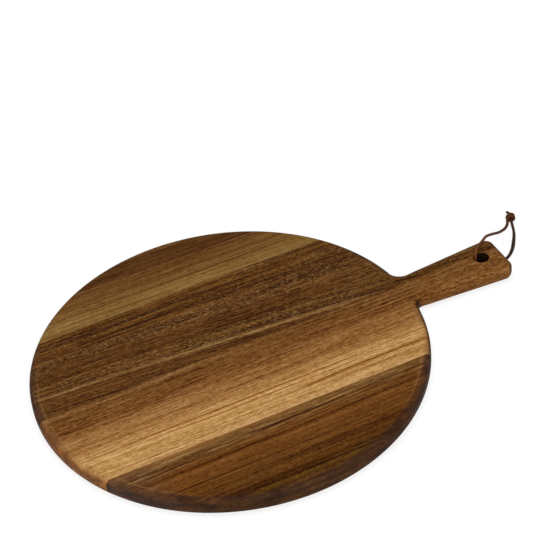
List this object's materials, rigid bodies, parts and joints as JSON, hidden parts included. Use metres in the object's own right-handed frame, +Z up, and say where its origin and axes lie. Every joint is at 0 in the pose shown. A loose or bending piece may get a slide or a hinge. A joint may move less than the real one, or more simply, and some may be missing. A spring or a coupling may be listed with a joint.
{
  "type": "pizza serving board",
  "caption": "Round wooden pizza serving board of glued staves, rounded all round, with a short flared handle and a knotted leather lace through its hanging hole.",
  "frame": {"origin": "middle of the disc's underside, on the plane that the board lies on", "axes": "+X along the grain and out along the handle, +Y towards the back, +Z up through the serving face"},
  "size_m": [0.4516, 0.32, 0.0192],
  "materials": {
    "back_wood": "oiled acacia, golden olive with a dark reddish outer strip, satin",
    "rear_middle_wood": "oiled acacia, dark brown with pale flecks, satin",
    "front_middle_wood": "oiled acacia, reddish brown turning gold towards the front, satin",
    "front_wood": "oiled acacia, reddish mid-brown with dark lines, satin",
    "glue": "dried wood glue, brown, flush with the wood",
    "lace_leather": "round brown leather lace, smooth"
  },
  "bodies": {
    "root": {"back_stave": "back_wood", "rear_middle_stave": "rear_middle_wood", "front_middle_stave": "front_middle_wood", "front_stave": "front_wood", "back_glue_line": "glue", "middle_glue_line": "glue", "front_glue_line": "glue", "hanging_lace": "lace_leather"}
  },
  "joints": []
}
